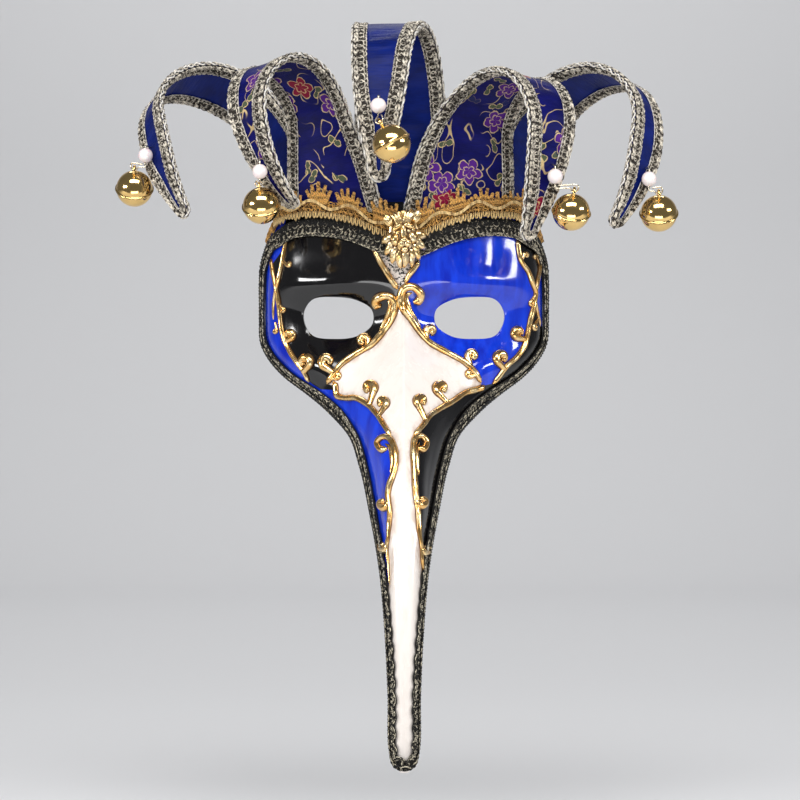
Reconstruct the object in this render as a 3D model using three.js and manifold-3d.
// A carnival half mask with a long hooked beak and a crown of five bent horns, each with a bell.
// Millimetres, +Z up. The front faces -Y and +X is the viewer's right. The origin is the point
// inside the nose bridge that rests on the wearer's nose, level with the eyes.
import * as THREE from "three";
import { mergeVertices } from "three/addons/utils/BufferGeometryUtils.js";
import Module from "manifold-3d";

const wasm = await Module();
wasm.setup();

// Overall sizes of the face and its beak
const FACE_WIDTH = 160;
const FACE_DEPTH = 52;
const BROW_HEIGHT = 64;
const BEAK_LENGTH = 239;
const BEAK_REACH = 92;
const SHELL_WALL = 2;
const PIECE_GAP = 0.3;

// Eye holes
const EYE_SPACING = 72.6;
const EYE_WIDTH = 39.5;
const EYE_HEIGHT = 23;

// Braid round the rim and along the brow
const BRAID_WIDTH = 10;
const BRAID_THICKNESS = 2.1;
const BRAID_LIFT = 0.85;
const BRAID_BEAK_SHARE = 0.8;
const BRAID_TIP_SHARE = 0.45;

// Gilt scrollwork
const SCROLL_WIDTH = 2.4;
const SCROLL_HEIGHT = 1.6;
const SCROLL_LIFT = 0.5;

// Crown: horns of covered card, their braided trim, and the lace at their foot
const CROWN_LEVEL = 58;
const HORN_LENGTH = 220;
const HORN_WIDTH = 55;
const HORN_CORE = 1.6;
const HORN_TIP_WIDTH = 7;
const ROOT_STRAIGHT = 24;
const ROOT_BLEND = 42;
const TRIM_WIDTH = 7;
const TRIM_WALL = 0.8;
const TRIM_SLACK = 0.45;
const LACE_THICKNESS = 1.4;
const LACE_BAND = 9;
const LACE_PEAK = 11;
const LACE_PITCH = 16;
const LACE_RISE = 6.6;

// Bells, pearls and the wires that hold them
const BELL_DIAMETER = 20;
const BELL_WALL = 0.7;
const BELL_SLOT = 2.6;
const BELL_SEAM = 0.9;
const BELL_EYE = 2.2;
const BELL_EYE_WIRE = 0.8;
const PEARL_DIAMETER = 8.2;
const PEARL_BORE = 2.4;
const WIRE_DIAMETER = 0.9;

// Lion boss
const BOSS_WIDTH = 25;
const BOSS_HEIGHT = 33;
const BOSS_DEPTH = 9;
const BOSS_RISE = 0.672;

// Mesh steps
const SHELL_ROWS = 27;
const SHELL_COLUMNS = 16;
const HORN_STEPS = 10;
const ROUND_SIDES = 8;

// Half sections of the shell, level by level. z is a share of BROW_HEIGHT above the eyes and of
// BEAK_LENGTH below them, x a share of half FACE_WIDTH, and y a share of FACE_DEPTH behind the
// bridge and of BEAK_REACH in front of it. The knots run from the ridge out to the rim.
const SECTIONS = [
  {
    z: 1.0, ridgeY: 0.1, footX: 0.25, footY: 0.125, midX: 0.55, midY: 0.27,
    sideX: 0.75, sideY: 0.5, rimX: 0.85, rimY: 0.77,
  },
  {
    z: 0.75, ridgeY: 0.02, footX: 0.25, footY: 0.05, midX: 0.6, midY: 0.23,
    sideX: 0.85, sideY: 0.5, rimX: 0.956, rimY: 0.885,
  },
  {
    z: 0.345, ridgeY: -0.016, footX: 0.25, footY: 0.0, midX: 0.625, midY: 0.2,
    sideX: 0.9, sideY: 0.5, rimX: 1.0, rimY: 0.96,
  },
  {
    z: 0.125, ridgeY: -0.005, footX: 0.213, footY: 0.077, midX: 0.625, midY: 0.25,
    sideX: 0.913, sideY: 0.54, rimX: 1.0, rimY: 1.0,
  },
  {
    z: 0.0, ridgeY: -0.022, footX: 0.2, footY: 0.115, midX: 0.625, midY: 0.27,
    sideX: 0.913, sideY: 0.54, rimX: 1.0, rimY: 1.0,
  },
  {
    z: -0.063, ridgeY: -0.141, footX: 0.225, footY: 0.058, midX: 0.6, midY: 0.23,
    sideX: 0.888, sideY: 0.52, rimX: 0.981, rimY: 0.94,
  },
  {
    z: -0.126, ridgeY: -0.293, footX: 0.3, footY: -0.054, midX: 0.55, midY: 0.096,
    sideX: 0.75, sideY: 0.365, rimX: 0.838, rimY: 0.69,
  },
  {
    z: -0.167, ridgeY: -0.391, footX: 0.3, footY: -0.141, midX: 0.463, midY: -0.011,
    sideX: 0.6, sideY: 0.19, rimX: 0.675, rimY: 0.46,
  },
  {
    z: -0.209, ridgeY: -0.478, footX: 0.213, footY: -0.315, midX: 0.35, midY: -0.141,
    sideX: 0.45, sideY: -0.011, rimX: 0.525, rimY: 0.21,
  },
  {
    z: -0.259, ridgeY: -0.576, footX: 0.15, footY: -0.478, midX: 0.256, midY: -0.315,
    sideX: 0.325, sideY: -0.174, rimX: 0.375, rimY: -0.033,
  },
  {
    z: -0.335, ridgeY: -0.696, footX: 0.113, footY: -0.641, midX: 0.181, midY: -0.511,
    sideX: 0.238, sideY: -0.37, rimX: 0.281, rimY: -0.228,
  },
  {
    z: -0.439, ridgeY: -0.815, footX: 0.1, footY: -0.777, midX: 0.148, midY: -0.674,
    sideX: 0.181, sideY: -0.554, rimX: 0.206, rimY: -0.435,
  },
  {
    z: -0.565, ridgeY: -0.913, footX: 0.06, footY: -0.899, midX: 0.096, midY: -0.853,
    sideX: 0.121, sideY: -0.783, rimX: 0.135, rimY: -0.7,
  },
  {
    z: -0.69, ridgeY: -0.973, footX: 0.045, footY: -0.966, midX: 0.074, midY: -0.935,
    sideX: 0.091, sideY: -0.887, rimX: 0.098, rimY: -0.83,
  },
  {
    z: -0.837, ridgeY: -1.0, footX: 0.036, footY: -0.994, midX: 0.058, midY: -0.972,
    sideX: 0.071, sideY: -0.937, rimX: 0.076, rimY: -0.891,
  },
  {
    z: -0.954, ridgeY: -0.978, footX: 0.034, footY: -0.973, midX: 0.054, midY: -0.954,
    sideX: 0.065, sideY: -0.922, rimX: 0.069, rimY: -0.88,
  },
  {
    z: -0.987, ridgeY: -0.95, footX: 0.026, footY: -0.946, midX: 0.042, midY: -0.93,
    sideX: 0.05, sideY: -0.908, rimX: 0.053, rimY: -0.876,
  },
  {
    z: -1.0, ridgeY: -0.915, footX: 0.016, footY: -0.912, midX: 0.026, midY: -0.902,
    sideX: 0.031, sideY: -0.889, rimX: 0.033, rimY: -0.872,
  },
];
const KNOTS = ["ridge", "foot", "mid", "side", "rim"];

// Swellings and hollows of the face. x, z, width and height are shares as in SECTIONS, and push
// is how far the surface comes forward, as a share of FACE_DEPTH.
const RELIEF = [
  { name: "brow", x: 0.5, z: 0.27, width: 0.33, height: 0.13, push: 0.07 },
  { name: "socket", x: 0.45, z: 0.0, width: 0.27, height: 0.2, push: -0.12 },
  { name: "cheekbone", x: 0.6, z: -0.1, width: 0.2, height: 0.035, push: 0.05 },
];

// Outline of an eye hole round its centre, as shares of its half width towards the temple and of
// its half height.
const EYE_OUTLINE = [
  { out: 1.0, up: 0.25 },
  { out: 0.72, up: 0.9 },
  { out: 0.1, up: 1.0 },
  { out: -0.5, up: 0.85 },
  { out: -0.93, up: 0.4 },
  { out: -0.95, up: -0.3 },
  { out: -0.5, up: -0.88 },
  { out: 0.15, up: -1.0 },
  { out: 0.7, up: -0.86 },
  { out: 0.96, up: -0.3 },
];

// The line of the brow braid from the middle of the brow to its corner, as shares.
const BROW_LINE = [
  { x: 0.0, z: 0.56 },
  { x: 0.125, z: 0.61 },
  { x: 0.28, z: 0.7 },
  { x: 0.42, z: 0.755 },
  { x: 0.6, z: 0.785 },
  { x: 0.74, z: 0.775 },
  { x: 0.84, z: 0.73 },
  { x: 0.9, z: 0.655 },
];

// The horns from left to right. place is where the root stands along the crown, as a share of its
// half length. aim is the way it bends, in degrees from straight ahead, and lean how far it leans
// to the side. rise, hook and drop are the lengths of its three stretches as shares of HORN_LENGTH,
// and turn their bends. width is its root width as a share of HORN_WIDTH, and taper its width at
// each of HORN_STATIONS as shares of that.
const HORN_STATIONS = [0, 0.25, 0.45, 0.65, 0.82, 1];
const HORNS = [
  {
    name: "horn_far_left", place: -0.71, aim: -54, lean: -33.7, front: false, width: 0.7382,
    rise: 0.2432, hook: 0.5218, drop: 0.2868, turn: [4.1, 163.5, 26.1],
    taper: [1, 0.87, 0.88, 0.63, 0.63, 0.18], pearl: { along: 0.82, side: -0.25 },
  },
  {
    name: "horn_left", place: -0.45, aim: -36.5, lean: -10.3, front: true, width: 1.0145,
    rise: 0.2377, hook: 0.4486, drop: 0.2464, turn: [3.4, 184.7, 49.5],
    taper: [1, 0.74, 0.68, 0.47, 0.33, 0.13], pearl: { along: 0.86, side: -0.06 },
  },
  {
    name: "horn_middle", place: -0.02, aim: -7.9, lean: -0.3, front: false, width: 0.9855,
    rise: 0.2818, hook: 0.4723, drop: 0.2795, turn: [3.7, 155.5, 27.3],
    taper: [1, 0.9, 0.78, 0.59, 0.45, 0.15], pearl: { along: 0.84, side: 0.04 },
  },
  {
    name: "horn_right", place: 0.36, aim: 35.4, lean: 7.4, front: true, width: 1.1418,
    rise: 0.2014, hook: 0.4732, drop: 0.2477, turn: [10.9, 171.2, 20.7],
    taper: [1, 0.78, 0.58, 0.5, 0.38, 0.12], pearl: { along: 0.83, side: 0.22 },
  },
  {
    name: "horn_far_right", place: 0.77, aim: 45.4, lean: 20, front: false, width: 0.7473,
    rise: 0.2045, hook: 0.5355, drop: 0.2673, turn: [10.1, 155.7, 42.6],
    taper: [1, 1, 0.83, 0.57, 0.57, 0.2], pearl: { along: 0.87, side: 0.25 },
  },
];

// How each bell hangs, from left to right: degrees that it leans to the viewer and rolls sideways,
// and how far its eye swings out, drops below the pearl and stands forward, as shares of its
// diameter.
const BELL_POSES = [
  { lean: 38, roll: 4, swing: -0.3, drop: 0.19, forward: 0.04 },
  { lean: 38, roll: -5, swing: -0.02, drop: 0.2, forward: 0 },
  { lean: 0, roll: -28, swing: 0.06, drop: 0.3, forward: 0.56 },
  { lean: 32, roll: 6, swing: 0.5, drop: 0.2, forward: 0 },
  { lean: 36, roll: -4, swing: 0.26, drop: 0.2, forward: 0 },
];

// Scroll lines of the right half, as shares. swell is the width along a stroke, as shares of
// SCROLL_WIDTH at its start, middle and end.
const SCROLLS = {
  brow_scroll: [
    { swell: [1.1, 1.1, 0.9], line: [[0.2, 0.57], [0.144, 0.44], [0.093, 0.335], [0.055, 0.26]] },
  ],
  eye_scroll: [
    {
      swell: [1.5, 1.2, 1.0],
      line: [
        [0.175, 0.14], [0.172, 0.2], [0.12, 0.235], [0.07, 0.21], [0.055, 0.15], [0.069, 0.047],
        [0.103, -0.017], [0.151, -0.043], [0.199, -0.06], [0.282, -0.077], [0.364, -0.0925],
        [0.431, -0.107], [0.478, -0.125], [0.54, -0.16],
      ],
    },
    {
      swell: [0.8, 1.6, 1.4],
      line: [[0.205, -0.062], [0.215, -0.046], [0.25, -0.036], [0.28, -0.042], [0.275, -0.054]],
    },
    {
      swell: [0.8, 2.2, 0.8],
      line: [[0.455, -0.118], [0.5, -0.111], [0.536, -0.1], [0.55, -0.088]],
    },
    { swell: [0.8, 1.5, 0.8], line: [[0.5, -0.14], [0.461, -0.137], [0.433, -0.126]] },
  ],
  cheek_scroll: [
    {
      swell: [1.0, 0.9, 1.0],
      line: [
        [0.813, 0.66], [0.834, 0.536], [0.862, 0.43], [0.894, 0.3], [0.911, 0.194], [0.904, 0.08],
        [0.88, -0.014], [0.848, -0.044], [0.818, -0.07], [0.764, -0.0945], [0.714, -0.113],
        [0.665, -0.1365], [0.63, -0.152],
      ],
    },
    {
      swell: [0.7, 0.8, 0.7],
      line: [[0.948, 0.51], [0.945, 0.4], [0.932, 0.3], [0.911, 0.2], [0.93, 0.08], [0.95, -0.02]],
    },
    {
      swell: [1.0, 1.3, 1.3],
      line: [[0.845, -0.055], [0.845, -0.03], [0.81, -0.022], [0.782, -0.034], [0.8, -0.05]],
    },
    {
      swell: [0.9, 2.1, 1.2],
      line: [[0.72, -0.118], [0.7, -0.105], [0.665, -0.096], [0.63, -0.106]],
    },
    { swell: [0.6, 1.4, 0.6], line: [[0.858, 0.45], [0.835, 0.4], [0.825, 0.33]] },
  ],
  beak_scroll: [
    {
      swell: [1.2, 1.1, 1.0],
      line: [
        [0.5, -0.158], [0.4125, -0.1795], [0.33, -0.19], [0.244, -0.204], [0.184, -0.22],
        [0.143, -0.239], [0.1, -0.259], [0.07, -0.28], [0.058, -0.318], [0.066, -0.35],
        [0.083, -0.381], [0.092, -0.402], [0.0916, -0.435], [0.096, -0.478], [0.1, -0.512],
        [0.103, -0.548], [0.106, -0.585], [0.107, -0.61],
      ],
    },
    {
      swell: [1.4, 1.3, 1.0],
      line: [[0.146, -0.292], [0.14, -0.275], [0.1, -0.267], [0.068, -0.284]],
    },
    {
      swell: [0.9, 2.2, 1.4],
      line: [[0.3, -0.195], [0.28, -0.181], [0.254, -0.165], [0.227, -0.153], [0.205, -0.158]],
    },
    {
      swell: [0.9, 1.8, 0.9],
      line: [[0.162, -0.231], [0.147, -0.2125], [0.131, -0.1945], [0.12, -0.184]],
    },
    {
      swell: [0.9, 1.5, 1.0],
      line: [[0.09, -0.392], [0.114, -0.4], [0.128, -0.413], [0.12, -0.426]],
    },
    { swell: [0.7, 1.2, 0.8], line: [[0.1, -0.495], [0.117, -0.5], [0.124, -0.512]] },
  ],
};

const halfWidth = FACE_WIDTH / 2;
const degrees = THREE.MathUtils.degToRad;
const clamp = THREE.MathUtils.clamp;
const smoothstep = (t) => THREE.MathUtils.smoothstep(t, 0, 1);
const levelOf = (share) => share * (share >= 0 ? BROW_HEIGHT : BEAK_LENGTH);
const depthOf = (share) => share * (share >= 0 ? FACE_DEPTH : BEAK_REACH);

// The value at t of a smooth curve through rising knots, each slope taken from its two chords.
function curveThrough(knots, values, t) {
  const last = knots.length - 1;
  const chord = (i) => (values[i + 1] - values[i]) / (knots[i + 1] - knots[i]);
  const slope = (i) => {
    if (i === 0) return chord(0);
    if (i === last) return chord(last - 1);
    const before = knots[i] - knots[i - 1];
    const after = knots[i + 1] - knots[i];
    return (chord(i - 1) * after + chord(i) * before) / (before + after);
  };
  let i = 0;
  while (i < last - 1 && t > knots[i + 1]) i += 1;
  const span = knots[i + 1] - knots[i];
  const p = (t - knots[i]) / span;
  const q = 1 - p;
  return (
    values[i] * (1 + 2 * p) * q * q +
    slope(i) * span * p * q * q -
    slope(i + 1) * span * p * p * q +
    values[i + 1] * p * p * (3 - 2 * p)
  );
}

// The same curve for a table's named column, by another of its columns.
const columnAt = (table, by, name, t) =>
  curveThrough(table.map((row) => row[by]), table.map((row) => row[name]), t);

// The shell's levels from the beak's tip up, in millimetres.
const levels = [...SECTIONS].reverse().map((row) => ({
  z: levelOf(row.z),
  x: KNOTS.map((knot) => (row[`${knot}X`] ?? 0) * halfWidth),
  y: KNOTS.map((knot) => depthOf(row[`${knot}Y`])),
}));
const levelHeights = levels.map((level) => level.z);
const shellTop = levelHeights.at(-1);
const shellTip = levelHeights[0];
const knotPlaces = KNOTS.map((_, i) => i / (KNOTS.length - 1));
const sectionCache = new Map();

function sectionAt(z) {
  const key = z.toFixed(5);
  if (!sectionCache.has(key)) {
    const at = (axis) =>
      KNOTS.map((_, i) => curveThrough(levelHeights, levels.map((level) => level[axis][i]), z));
    sectionCache.set(key, { x: at("x"), y: at("y") });
  }
  return sectionCache.get(key);
}

function reliefAt(x, z) {
  return RELIEF.reduce((sum, bump) => {
    const tall = bump.height * (bump.z >= 0 ? BROW_HEIGHT : BEAK_LENGTH);
    const across = (Math.abs(x) - bump.x * halfWidth) / (bump.width * halfWidth);
    const up = (z - levelOf(bump.z)) / tall;
    return sum + bump.push * FACE_DEPTH * Math.exp(-across * across - up * up);
  }, 0);
}

// The shell's outer surface: u runs from -1 at the left rim to 1 at the right one, by level z.
function shellSurface(u, z) {
  const section = sectionAt(z);
  const x = curveThrough(knotPlaces, section.x, Math.abs(u)) * Math.sign(u);
  const y = curveThrough(knotPlaces, section.y, Math.abs(u));
  return new THREE.Vector3(x, y - reliefAt(x, z), z);
}

function shellSlopes(u, z) {
  const step = 1e-3;
  const across = shellSurface(u + step, z).sub(shellSurface(u - step, z)).divideScalar(2 * step);
  const up = shellSurface(u, z + step).sub(shellSurface(u, z - step)).divideScalar(2 * step);
  return { across, up, normal: new THREE.Vector3().crossVectors(across, up).normalize() };
}

const liftedShell = (u, z, lift) =>
  shellSurface(u, z).addScaledVector(shellSlopes(u, z).normal, lift);

// The place across the shell whose surface is x from the middle, at level z.
function acrossAt(x, z) {
  let low = 0;
  let high = 1.1;
  for (let i = 0; i < 40; i += 1) {
    const middle = (low + high) / 2;
    if (Math.abs(shellSurface(middle, z).x) < Math.abs(x)) low = middle;
    else high = middle;
  }
  return low * Math.sign(x);
}

// Walks a distance over the shell from (u, z) in a direction of space, in a few short steps.
function walk(start, direction, distance) {
  const steps = 3;
  const at = { ...start };
  for (let i = 0; i < steps; i += 1) {
    const { across, up } = shellSlopes(at.u, at.z);
    const [aa, au, uu] = [across.dot(across), across.dot(up), up.dot(up)];
    const [da, du] = [direction.dot(across), direction.dot(up)];
    const scale = distance / steps / (aa * uu - au * au);
    at.u += (da * uu - du * au) * scale;
    at.z += (du * aa - da * au) * scale;
  }
  return at;
}

function geometryOf(points, triangles) {
  const positions = new Float32Array(points.flatMap((p) => [p.x, p.y, p.z]));
  return new THREE.BufferGeometry()
    .setAttribute("position", new THREE.BufferAttribute(positions, 3))
    .setIndex(triangles);
}

// A closed solid from two facing grids of points: its front, and its back behind that.
function wallBetween(front, back) {
  const rows = front.length;
  const columns = front[0].length;
  const points = [...front.flat(), ...back.flat()];
  const behind = rows * columns;
  const triangles = [];
  const quad = (a, b, c, d) => triangles.push(a, b, c, a, c, d);
  for (let r = 0; r + 1 < rows; r += 1) {
    for (let c = 0; c + 1 < columns; c += 1) {
      const i = r * columns + c;
      quad(i, i + 1, i + columns + 1, i + columns);
      quad(behind + i + columns, behind + i + columns + 1, behind + i + 1, behind + i);
    }
  }
  for (let c = 0; c + 1 < columns; c += 1) {
    const top = (rows - 1) * columns + c;
    quad(c, behind + c, behind + c + 1, c + 1);
    quad(top, top + 1, behind + top + 1, behind + top);
  }
  for (let r = 0; r + 1 < rows; r += 1) {
    const left = r * columns;
    const right = left + columns - 1;
    quad(left, left + columns, behind + left + columns, behind + left);
    quad(right, behind + right, behind + right + columns, right + columns);
  }
  return geometryOf(points, triangles);
}

// A closed solid swept through rings of points. profile is the ring's flat outline, for the caps.
function sweep(rings, profile, loop = false) {
  const size = profile.length;
  const triangles = [];
  const spans = loop ? rings.length : rings.length - 1;
  for (let r = 0; r < spans; r += 1) {
    for (let i = 0; i < size; i += 1) {
      const a = r * size + i;
      const b = r * size + ((i + 1) % size);
      const c = ((r + 1) % rings.length) * size + ((i + 1) % size);
      const d = ((r + 1) % rings.length) * size + i;
      triangles.push(a, b, c, a, c, d);
    }
  }
  if (!loop) {
    const flat = profile.map(([x, y]) => new THREE.Vector2(x, y));
    const end = (rings.length - 1) * size;
    for (const [a, b, c] of THREE.ShapeUtils.triangulateShape(flat, [])) {
      triangles.push(a, c, b, end + a, end + b, end + c);
    }
  }
  return geometryOf(rings.flat(), triangles);
}

// Geometry as a solid for joins and cuts, turned the right way out, and back again.
function solidOf(geometry) {
  const positions = geometry.getAttribute("position").clone();
  const bare = new THREE.BufferGeometry().setAttribute("position", positions);
  if (geometry.index) bare.setIndex(geometry.index.clone());
  const merged = mergeVertices(bare, 1e-4);
  const vertProperties = merged.attributes.position.array;
  const build = (triVerts) => new wasm.Manifold(new wasm.Mesh({ numProp: 3, vertProperties, triVerts }));
  const triangles = new Uint32Array(merged.index.array);
  const made = build(triangles);
  return made.volume() < 0 ? build(triangles.reverse()) : made;
}

function geometryFrom(solid) {
  const mesh = solid.getMesh();
  return new THREE.BufferGeometry()
    .setAttribute("position", new THREE.BufferAttribute(new Float32Array(mesh.vertProperties), 3))
    .setIndex(new THREE.BufferAttribute(new Uint32Array(mesh.triVerts), 1));
}

const largestOf = (solid) =>
  solid.decompose().reduce((best, piece) => (piece.volume() > best.volume() ? piece : best));

const FINISHES = {
  lacquer: { color: 0x1a1f8c, roughness: 0.12, metalness: 0 },
  gilt: { color: 0xc9963f, roughness: 0.3, metalness: 1 },
  brass: { color: 0xd8b04a, roughness: 0.12, metalness: 1 },
  black_braid: { color: 0x15130f, roughness: 0.6, metalness: 0.2 },
  silver_braid: { color: 0xc9bda0, roughness: 0.45, metalness: 0.6 },
  gold_lace: { color: 0xb9822c, roughness: 0.4, metalness: 0.7 },
  satin: { color: 0x13287e, roughness: 0.4, metalness: 0 },
  brocade: { color: 0x1c1c8a, roughness: 0.45, metalness: 0 },
  pearl: { color: 0xf2e9e4, roughness: 0.2, metalness: 0 },
  wire: { color: 0xd6d0c4, roughness: 0.25, metalness: 1 },
};

function piece(name, geometry, finish) {
  const material = new THREE.MeshStandardMaterial(FINISHES[finish]);
  material.side = THREE.FrontSide;
  const mesh = new THREE.Mesh(geometry, material);
  mesh.name = name;
  return mesh;
}

// Shell

function eyeHole(side) {
  const points = EYE_OUTLINE.map(({ out, up }) => new THREE.Vector3(
    side * (EYE_SPACING / 2 + (out * EYE_WIDTH) / 2), (up * EYE_HEIGHT) / 2, 0));
  const outline = new THREE.CatmullRomCurve3(points, true).getPoints(points.length * 2).slice(0, -1);
  const shape = new THREE.Shape(outline.map((p) => new THREE.Vector2(p.x, p.y)));
  const through = FACE_DEPTH + BEAK_REACH;
  const hole = new THREE.ExtrudeGeometry(shape, { depth: through, bevelEnabled: false });
  hole.rotateX(Math.PI / 2).translate(0, through / 2, 0);
  return solidOf(hole);
}

// The shell before its eye holes are cut, its front moved out by a clearance.
function shellSolid(clearance) {
  const tipWall = (z) => Math.min(SHELL_WALL, 0.35 * sectionAt(z).x.at(-1));
  // Rows crowd together where the beak's tip closes.
  const rows = Array.from({ length: SHELL_ROWS + 1 }, (_, i) => {
    const t = i / SHELL_ROWS;
    return THREE.MathUtils.lerp(shellTip, shellTop, 0.25 * t * t + 0.75 * t);
  });
  const columns = Array.from({ length: SHELL_COLUMNS + 1 }, (_, i) => (2 * i) / SHELL_COLUMNS - 1);
  const front = rows.map((z) => columns.map((u) => liftedShell(u, z, clearance)));
  const back = rows.map((z) => columns.map((u) => liftedShell(u, z, -tipWall(z))));
  return solidOf(wallBetween(front, back));
}

const maskShell = () =>
  [-1, 1].reduce((shell, side) => shell.subtract(eyeHole(side)), shellSolid(0));

// Braid

const browHeightAt = (x) => columnAt(
  BROW_LINE.map((row) => ({ x: row.x * halfWidth, z: levelOf(row.z) })), "x", "z", Math.abs(x));

// The braid's middle line, all the way round: down the left rim, round the beak's tip, up the
// right rim and back along the brow.
function braidLine() {
  const corner = BROW_LINE.at(-1);
  const cornerLevel = levelOf(corner.z) - BRAID_WIDTH * 1.3;
  const tipTurn = shellTip + BRAID_WIDTH * 1.1;
  const rimSteps = 24;
  const inset = (z) => {
    const { across, up } = shellSlopes(1, z);
    const rise = across.dot(up) / up.dot(up);
    const inward = across.clone().negate().addScaledVector(up, rise).normalize();
    return walk({ u: 1, z }, inward, BRAID_WIDTH / 2);
  };
  const rim = Array.from({ length: rimSteps + 1 }, (_, i) => {
    const t = i / rimSteps;
    return inset(THREE.MathUtils.lerp(cornerLevel, tipTurn, 0.35 * t + 0.65 * t * t));
  });
  const turnFrom = rim.at(-1);
  const turnLow = shellTip + BRAID_WIDTH * 0.5;
  const turnSteps = 4;
  const turn = Array.from({ length: turnSteps - 1 }, (_, i) => {
    const angle = ((i + 1) / turnSteps) * Math.PI;
    const sink = (turnFrom.z - turnLow) * Math.sin(angle);
    return { u: turnFrom.u * Math.cos(angle), z: turnFrom.z - sink };
  });
  const browSteps = 8;
  const brow = Array.from({ length: 2 * browSteps + 1 }, (_, i) => {
    const x = (1 - i / browSteps) * corner.x * 0.97 * halfWidth;
    return { u: acrossAt(x, browHeightAt(x)), z: browHeightAt(x) };
  });
  const mirrored = (places) => places.map(({ u, z }) => ({ u: -u, z }));
  // The braid rounds the corner between the rim and the brow on a short curve.
  const from = shellSurface(rim[0].u, rim[0].z);
  const to = shellSurface(brow[0].u, brow[0].z);
  const bend = new THREE.QuadraticBezierCurve(
    new THREE.Vector2(from.x, from.z),
    new THREE.Vector2((from.x + to.x) / 2, to.z),
    new THREE.Vector2(to.x, to.z),
  );
  const round = [0.35, 0.7].map((t) => {
    const { x, y } = bend.getPoint(t);
    return { u: acrossAt(x, y), z: y };
  });
  return [
    ...mirrored(rim),
    ...mirrored(turn),
    ...[...rim].reverse(),
    ...round,
    ...brow,
    ...mirrored([...round].reverse()),
  ];
}

// A band that lies on the shell along a line of { u, z } places. widths gives its width at each
// place, raises what it is lifted by there, and layers its outline: shares across it with the
// lift above the shell.
function bandOn(line, widths, raises, layers, loop = false) {
  const places = line.map(({ u, z }) => shellSurface(u, z));
  return line.map((at, i) => {
    const before = loop ? places.at(i - 1) : places[Math.max(i - 1, 0)];
    const after = places[loop ? (i + 1) % places.length : Math.min(i + 1, places.length - 1)];
    const along = after.clone().sub(before).normalize();
    const side = new THREE.Vector3().crossVectors(shellSlopes(at.u, at.z).normal, along).normalize();
    return layers.map(([share, lift]) => {
      const reach = share * widths[i];
      const spot = walk(at, side.clone().multiplyScalar(Math.sign(reach)), Math.abs(reach));
      const z = clamp(spot.z, shellTip - BRAID_WIDTH, shellTop + BRAID_WIDTH);
      return liftedShell(spot.u, z, lift + raises[i]);
    });
  });
}

function braidSolid(clearance) {
  const line = braidLine();
  const top = BRAID_LIFT + BRAID_THICKNESS + clearance;
  const base = BRAID_LIFT - clearance * 3;
  const wide = BRAID_WIDTH / 2 + clearance;
  const layers = [[-1, base], [0, base], [1, base], [1, top * 0.7], [0, top], [-1, top * 0.7]];
  const shareAt = (z) => {
    if (z < shellTip + BRAID_WIDTH) return BRAID_TIP_SHARE;
    return THREE.MathUtils.mapLinear(clamp(z, shellTip, 0), shellTip, 0, BRAID_BEAK_SHARE, 1);
  };
  const widths = line.map(({ z }) => wide * shareAt(z));
  const raises = line.map(({ z }) => (z < shellTip + BRAID_WIDTH ? BRAID_LIFT * 0.6 : 0));
  return solidOf(sweep(bandOn(line, widths, raises, layers, true), layers, true));
}

// Crown: standing surfaces over the shell's outline, before and behind its top edge

const crownSamples = 160;

function crownAt(z) {
  const outline = Array.from({ length: 2 * crownSamples + 1 }, (_, i) => {
    const at = shellSurface(i / crownSamples - 1, z);
    return new THREE.Vector2(at.x, at.y);
  });
  const arcs = [0];
  for (let i = 1; i < outline.length; i += 1) {
    arcs.push(arcs[i - 1] + outline[i].distanceTo(outline[i - 1]));
  }
  return { outline, arcs, half: arcs.at(-1) / 2 };
}

const frontCrown = crownAt(CROWN_LEVEL);
const backCrown = crownAt(BROW_HEIGHT);

// The point at an arc length from the middle of a crown, at height z, lifted off its surface.
function crownPoint(crown, arc, z, lift) {
  const { outline, arcs, half } = crown;
  const t = arc + half;
  let i = 0;
  while (i < arcs.length - 2 && arcs[i + 1] < t) i += 1;
  const share = (t - arcs[i]) / (arcs[i + 1] - arcs[i]);
  const at = outline[i].clone().lerp(outline[i + 1], share);
  const first = outline[Math.max(i - 3, 0)];
  const second = outline[Math.min(i + 4, outline.length - 1)];
  const along = second.clone().sub(first).normalize();
  return new THREE.Vector3(at.x + along.y * lift, at.y - along.x * lift, z);
}

const trimHalf = HORN_CORE / 2 + TRIM_SLACK + TRIM_WALL;
const frontLift = PIECE_GAP + trimHalf;
const backLift = -(SHELL_WALL + PIECE_GAP + trimHalf + PIECE_GAP);
const laceLift = frontLift + trimHalf + PIECE_GAP;

const hornLength = (horn) => (horn.rise + horn.hook + horn.drop) * HORN_LENGTH;

// Where a horn's middle line has got to after s millimetres: forward, up, and its direction.
function hornPath(horn, s) {
  const stretches = [horn.rise, horn.hook, horn.drop].map((share) => share * HORN_LENGTH);
  let [forward, up, angle, left] = [0, 0, Math.PI / 2, s];
  stretches.forEach((length, i) => {
    const run = i === stretches.length - 1 ? left : Math.min(left, length);
    const bend = -degrees(horn.turn[i]) / length;
    const end = angle + bend * run;
    forward += (Math.sin(end) - Math.sin(angle)) / bend;
    up -= (Math.cos(end) - Math.cos(angle)) / bend;
    angle = end;
    left -= run;
  });
  return { forward, up, angle };
}

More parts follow.
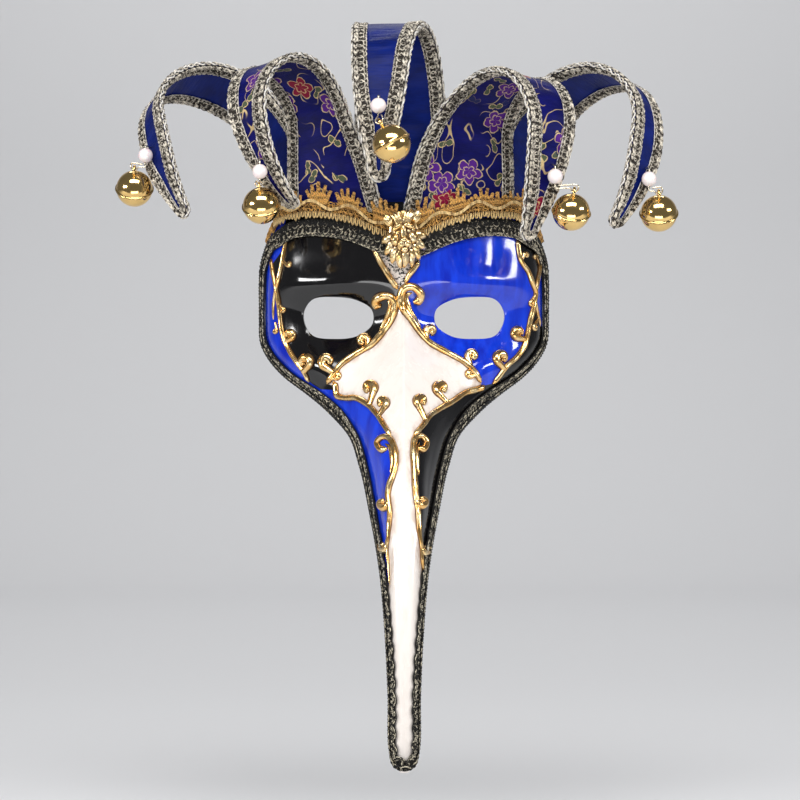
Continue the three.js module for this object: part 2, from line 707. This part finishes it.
// The middle surface of a horn: a across it and s along it. It follows the crown at the root.
function hornMiddle(horn, a, s) {
  const [aim, lean] = [degrees(horn.aim), degrees(horn.lean)];
  const lift = horn.front ? frontLift : backLift;
  const foot = CROWN_LEVEL + PIECE_GAP;
  const crown = horn.front ? frontCrown : backCrown;
  const arc = horn.place * frontCrown.half;
  const tilt = smoothstep(s / ROOT_STRAIGHT) * Math.sin(lean);
  const onCrown = crownPoint(
    crown, arc + a * Math.cos(lean) + s * Math.sin(lean), foot + s * Math.cos(lean) - a * tilt, lift);
  const side = new THREE.Vector3(Math.cos(aim), Math.sin(aim), 0);
  const ahead = new THREE.Vector3(Math.sin(aim), -Math.cos(aim), 0);
  const upright = new THREE.Vector3(0, 0, Math.cos(lean)).addScaledVector(side, Math.sin(lean));
  const across = new THREE.Vector3(0, 0, -Math.sin(lean)).addScaledVector(side, Math.cos(lean));
  const path = hornPath(horn, s);
  const free = crownPoint(crown, arc, foot, lift)
    .addScaledVector(across, a)
    .addScaledVector(ahead, path.forward)
    .addScaledVector(upright, path.up);
  return onCrown.lerp(free, smoothstep((s - ROOT_STRAIGHT) / ROOT_BLEND));
}

// A point t out of the hooked back of a horn's middle surface.
function hornPoint(horn, a, s, t) {
  const step = 0.5;
  const along = hornMiddle(horn, a, s + step).sub(hornMiddle(horn, a, Math.max(s - step, 0)));
  const across = hornMiddle(horn, a + step, s).sub(hornMiddle(horn, a - step, s));
  const out = new THREE.Vector3().crossVectors(along, across).normalize();
  return hornMiddle(horn, a, s).addScaledVector(out, t);
}

// The last row of a horn's strip before its rounded tip.
const hornBody = (horn) => hornLength(horn) - HORN_TIP_WIDTH / 2;

// The same point on the flat facet between two rows of the built strip.
function facetPoint(horn, a, s, t) {
  const pitch = hornBody(horn) / HORN_STEPS;
  const row = Math.floor(s / pitch);
  const before = hornPoint(horn, a, row * pitch, t);
  return before.lerp(hornPoint(horn, a, (row + 1) * pitch, t), s / pitch - row);
}

function hornHalfWidth(horn, s) {
  const share = curveThrough(HORN_STATIONS, horn.taper, s / hornLength(horn));
  return Math.max((horn.width * HORN_WIDTH * share) / 2, HORN_TIP_WIDTH / 2);
}

// Where the trim's inner edge runs on a horn this wide.
const trimInner = (half) => Math.max(half - TRIM_WIDTH, half * 0.25);

function hornStrip(horn) {
  const body = hornBody(horn);
  const rows = Array.from({ length: HORN_STEPS + 1 }, (_, i) => (body * i) / HORN_STEPS);
  const widths = rows.map((s) => hornHalfWidth(horn, s));
  rows.push(body + widths.at(-1) * 0.6);
  widths.push(widths.at(-1) * 0.5);
  const face = (t) =>
    rows.map((s, i) => {
      const inner = trimInner(widths[i]);
      return [-widths[i], -inner, 0, inner, widths[i]].map((a) => hornPoint(horn, a, s, t));
    });
  return wallBetween(face(-HORN_CORE / 2), face(HORN_CORE / 2));
}

// The trim folds over the edge of the strip on both faces, up one side, round the tip and down.
function hornTrim(horn) {
  const channel = HORN_CORE / 2 + TRIM_SLACK;
  const outer = TRIM_SLACK + TRIM_WALL;
  const body = hornBody(horn);
  const slit = PIECE_GAP;
  const legs = Array.from({ length: HORN_STEPS + 1 }, (_, i) => (body * i) / HORN_STEPS);
  const station = (side, s) => {
    const half = hornHalfWidth(horn, s);
    return {
      edge: [side * half, s],
      out: [side, 0],
      inner: [side * trimInner(half), s],
    };
  };
  const capAngles = [-0.6, -0.2, 0.2, 0.6];
  const cap = capAngles.map((share) => {
    const angle = share * (Math.PI / 2) * 1.25;
    const half = hornHalfWidth(horn, body);
    return {
      edge: [Math.sin(angle) * half, body + Math.cos(angle) * half],
      out: [Math.sin(angle), Math.cos(angle)],
      inner: [Math.sin(angle) * slit, body + Math.cos(angle) * slit],
    };
  });
  const stations = [
    ...legs.map((s) => station(-1, s)), ...cap, ...[...legs].reverse().map((s) => station(1, s))];
  const at = ([a, s], out, reach, t) => hornPoint(horn, a + out[0] * reach, s + out[1] * reach, t);
  const rings = stations.map(({ edge, out, inner }) => [
    at(edge, out, outer, trimHalf),
    at(inner, out, 0, trimHalf),
    at(inner, out, 0, channel),
    at(edge, out, TRIM_SLACK, channel),
    at(edge, out, TRIM_SLACK, -channel),
    at(inner, out, 0, -channel),
    at(inner, out, 0, -trimHalf),
    at(edge, out, outer, -trimHalf),
  ]);
  const profile = [
    [outer, trimHalf], [-TRIM_WIDTH, trimHalf], [-TRIM_WIDTH, channel], [TRIM_SLACK, channel],
    [TRIM_SLACK, -channel], [-TRIM_WIDTH, -channel], [-TRIM_WIDTH, -trimHalf], [outer, -trimHalf],
  ];
  return geometryFrom(solidOf(sweep(rings, profile)));
}

// Lace: a standing band with pointed fans along its top

function crownLace() {
  const reach = frontCrown.half * 0.9;
  const fans = 2 * Math.round(reach / LACE_PITCH);
  const steps = fans * 3;
  const heightShare = [0, 0.7, 0.7];
  const row = Array.from({ length: steps + 1 }, (_, i) => {
    const arc = THREE.MathUtils.lerp(-reach, reach, i / steps);
    const foot = browHeightAt(crownPoint(frontCrown, arc, 0, 0).x) + LACE_RISE;
    return { arc, foot, top: foot + LACE_BAND + LACE_PEAK * heightShare[i % heightShare.length] };
  });
  const face = (lift) => [
    row.map(({ arc, foot }) => crownPoint(frontCrown, arc, foot, lift)),
    row.map(({ arc, top }) => crownPoint(frontCrown, arc, top, lift)),
  ];
  return wallBetween(face(laceLift + LACE_THICKNESS), face(laceLift));
}

// Scrollwork

function strokeSolid(stroke, side, lift) {
  const points = stroke.line.map(([x, z]) => new THREE.Vector3(x * halfWidth, levelOf(z), 0));
  const curve = new THREE.CatmullRomCurve3(points, false, "centripetal");
  const steps = Math.max(4, Math.round(stroke.line.length * 0.7));
  const line = curve.getSpacedPoints(steps).map(({ x, y }) => ({ u: side * acrossAt(x, y), z: y }));
  const widths = line.map((_, i) => {
    const share = curveThrough([0, 0.5, 1], stroke.swell, i / steps);
    return (SCROLL_WIDTH * share) / 2;
  });
  const foot = SCROLL_LIFT + lift;
  const crest = foot + SCROLL_HEIGHT;
  const raises = line.map(() => 0);
  const layers = [[-1, foot], [1, foot], [0.55, crest], [-0.55, crest]];
  return solidOf(sweep(bandOn(line, widths, raises, layers), layers));
}

function scrollwork(strokes, side, keepClear) {
  const joined = strokes
    .map((stroke, i) => strokeSolid(stroke, side, 0.04 * i))
    .reduce((whole, stroke) => whole.add(stroke));
  return geometryFrom(largestOf(keepClear.reduce((left, solid) => left.subtract(solid), joined)));
}

// Lion boss: a cast mane, brow, ears, muzzle and nose on one base

function lionBoss(clearance = 0) {
  const [w, h, d] = [BOSS_WIDTH + clearance * 2, BOSS_HEIGHT + clearance * 2, BOSS_DEPTH];
  const manePoints = 8;
  const mane = new THREE.Shape(
    Array.from({ length: manePoints * 2 }, (_, i) => {
      const angle = (i / (manePoints * 2)) * 2 * Math.PI + Math.PI / 2;
      const reach = i % 2 ? 0.84 : 1;
      return new THREE.Vector2((Math.cos(angle) * reach * w) / 2, (Math.sin(angle) * reach * h) / 2);
    }),
  );
  const base = new THREE.ExtrudeGeometry(mane, {
    depth: d * 0.25, bevelEnabled: true, bevelSegments: 1, bevelThickness: d * 0.12, bevelSize: -w * 0.06,
  });
  base.rotateX(Math.PI / 2).translate(0, -d * 0.12, 0);
  const lump = (x, z, out, rx, ry, rz) => {
    const ball = new THREE.SphereGeometry(1, 6, 5);
    return solidOf(ball.scale(rx * w, ry * d, rz * h).translate(x * w, -out * d, z * h));
  };
  const features = [
    lump(0, 0.02, 0.4, 0.33, 0.4, 0.33),
    lump(0, -0.13, 0.72, 0.17, 0.32, 0.13),
    lump(0, 0.12, 0.62, 0.24, 0.26, 0.09),
    lump(-0.29, 0.3, 0.45, 0.1, 0.25, 0.1),
    lump(0.29, 0.3, 0.45, 0.1, 0.25, 0.1),
    lump(0, -0.3, 0.4, 0.12, 0.25, 0.09),
  ];
  const whole = features.reduce((sum, feature) => sum.add(feature), solidOf(base));
  const overLace = crownPoint(frontCrown, 0, 0, laceLift + LACE_THICKNESS + PIECE_GAP).y;
  const overBraid = liftedShell(0, browHeightAt(0), BRAID_LIFT + BRAID_THICKNESS + PIECE_GAP).y;
  const back = Math.min(overLace, overBraid);
  const keep = new THREE.BoxGeometry(w * 2, d * 4, h * 2).translate(0, -d * 2, 0);
  return whole.intersect(solidOf(keep)).translate([0, back + clearance, levelOf(BOSS_RISE)]);
}

// Bells, pearls and wires

function bellGeometry() {
  const radius = BELL_DIAMETER / 2;
  const inner = radius - BELL_WALL;
  const arcSteps = 3;
  const at = (r, angle) => new THREE.Vector2(Math.sin(angle) * r, -Math.cos(angle) * r);
  const quarter = (r, from) =>
    Array.from({ length: arcSteps }, (_, i) => at(r, from + ((i * Math.PI) / 2) * (0.94 / (arcSteps - 1))));
  const lower = quarter(radius, 0);
  const upper = [...lower].reverse().map((p) => new THREE.Vector2(p.x, -p.y));
  const seam = [-1, 1].map((end) => new THREE.Vector2(radius + BELL_SEAM * 0.7, (end * BELL_SEAM) / 2));
  const shell = new THREE.LatheGeometry([...lower, ...seam, ...upper], ROUND_SIDES).rotateX(Math.PI / 2);
  const hollow = new THREE.SphereGeometry(inner, ROUND_SIDES, 5).rotateX(Math.PI / 2);
  const slot = new THREE.BoxGeometry(BELL_DIAMETER * 0.8, BELL_SLOT, radius).translate(0, 0, -radius * 1.08);
  const eye = new THREE.TorusGeometry(BELL_EYE, BELL_EYE_WIRE, 4, 6, Math.PI * 2).rotateY(Math.PI / 2);
  eye.translate(0, 0, radius + BELL_EYE - BELL_EYE_WIRE * 0.3);
  const body = solidOf(shell).add(solidOf(eye)).subtract(solidOf(hollow)).subtract(solidOf(slot));
  return geometryFrom(body);
}

function pearlGeometry() {
  const [radius, bore] = [PEARL_DIAMETER / 2, PEARL_BORE / 2];
  const start = Math.asin(bore / radius);
  const arcSteps = 4;
  const profile = Array.from({ length: arcSteps + 1 }, (_, i) => {
    const angle = start + ((Math.PI - 2 * start) * i) / arcSteps;
    return new THREE.Vector2(Math.sin(angle) * radius, -Math.cos(angle) * radius);
  });
  profile.push(profile[0].clone());
  return new THREE.LatheGeometry(profile, ROUND_SIDES - 1).rotateX(Math.PI / 2);
}

// Where a horn's pearl sits, and where its wire ends on the horn just above it.
function pearlPlace(horn) {
  const { along, side } = horn.pearl;
  const s = along * hornLength(horn);
  const a = side * hornHalfWidth(horn, s);
  const centre = facetPoint(horn, a, s, trimHalf + PIECE_GAP + PEARL_DIAMETER / 2);
  const above = s - PEARL_DIAMETER * 0.75;
  const overTrim = Math.abs(a) + WIRE_DIAMETER > trimInner(hornHalfWidth(horn, above));
  const surface = overTrim ? trimHalf : HORN_CORE / 2;
  return { centre, anchor: facetPoint(horn, a, above, surface + PIECE_GAP + WIRE_DIAMETER / 2) };
}

// The wire leaves the horn above the pearl, runs down through it, loops through the bell's eye
// and comes back up beside itself.
function wirePoints(centre, anchor, eye, pose) {
  const drop = PEARL_DIAMETER / 2;
  const above = centre.clone().add(new THREE.Vector3(0, 0, drop + WIRE_DIAMETER));
  const below = centre.clone().add(new THREE.Vector3(0, 0, -drop - WIRE_DIAMETER * 0.8));
  const room = BELL_EYE_WIRE + WIRE_DIAMETER / 2 + 2 * PIECE_GAP;
  const way = pose.swing < 0 ? -1 : 1;
  // A bell that swings well aside keeps the wire's two strands apart.
  const aslant = Math.abs(pose.swing) > 0.15;
  const towardsBack = new THREE.Vector3(0, 1, 0);
  const beside = (out, up) =>
    new THREE.Vector3(out * room, 0, up * room).applyAxisAngle(towardsBack, degrees(pose.roll)).add(eye);
  return [
    anchor,
    above,
    centre.clone(),
    centre.clone().add(new THREE.Vector3(0, 0, -drop * 0.9)),
    below,
    ...(aslant ? [below.clone().add(new THREE.Vector3(0, 0, -WIRE_DIAMETER * 1.4))] : []),
    beside(-1.1 * way, 0.8),
    beside(-0.6 * way, 0.05),
    beside(0.6 * way, 0.05),
    beside(1.1 * way, 0.8),
    ...(aslant ? [beside(0.9 * way, 1.9)] : []),
    below.clone().add(new THREE.Vector3(WIRE_DIAMETER * 1.7 * way, 0, 0)),
  ];
}

function bellSet(horn, pose, number) {
  const group = new THREE.Group();
  const { centre, anchor } = pearlPlace(horn);
  const pearl = piece(`pearl_${number}`, pearlGeometry(), "pearl");
  pearl.position.copy(centre);
  const sink = PEARL_DIAMETER / 2 + pose.drop * BELL_DIAMETER;
  const eye = new THREE.Vector3(pose.swing * BELL_DIAMETER, -pose.forward * BELL_DIAMETER, -sink).add(centre);
  const turn = new THREE.Euler(degrees(pose.lean), degrees(pose.roll), 0, "YXZ");
  const eyeTop = BELL_DIAMETER / 2 + BELL_EYE * 2 - BELL_EYE_WIRE * 1.3;
  const hang = new THREE.Vector3(0, 0, eyeTop - WIRE_DIAMETER / 2 - 2 * PIECE_GAP);
  const bell = piece(`bell_${number}`, bellGeometry(), "brass");
  bell.rotation.copy(turn);
  bell.position.copy(eye).sub(hang.applyEuler(turn));
  const curve = new THREE.CatmullRomCurve3(wirePoints(centre, anchor, eye, pose), false, "centripetal");
  const round = new THREE.EllipseCurve(0, 0, WIRE_DIAMETER / 2, WIRE_DIAMETER / 2);
  const section = new THREE.Shape(round.getPoints(4).slice(0, -1));
  const wire = new THREE.ExtrudeGeometry(section, { steps: 12, bevelEnabled: false, extrudePath: curve });
  group.add(pearl, bell, piece(`bell_wire_${number}`, wire, "wire"));
  return group;
}

// Assembly

const mask = new THREE.Group();
mask.add(piece("mask_shell", geometryFrom(maskShell()), "lacquer"));
const shellClear = shellSolid(PIECE_GAP);
mask.add(piece("rim_braid", geometryFrom(braidSolid(0)), "black_braid"));

const keepClear = [shellClear, braidSolid(PIECE_GAP), lionBoss(PIECE_GAP)];
for (const [name, strokes] of Object.entries(SCROLLS)) {
  mask.add(piece(`${name}_left`, scrollwork(strokes, -1, keepClear), "gilt"));
  mask.add(piece(`${name}_right`, scrollwork(strokes, 1, keepClear), "gilt"));
}

const crown = new THREE.Group();
HORNS.forEach((horn, i) => {
  crown.add(piece(horn.name, hornStrip(horn), horn.front ? "brocade" : "satin"));
  crown.add(piece(`${horn.name}_trim`, hornTrim(horn), "silver_braid"));
  crown.add(bellSet(horn, BELL_POSES[i], i + 1));
});
crown.add(piece("crown_lace", crownLace(), "gold_lace"));
crown.add(piece("lion_boss", geometryFrom(lionBoss()), "gilt"));
mask.add(crown);

export default mask;
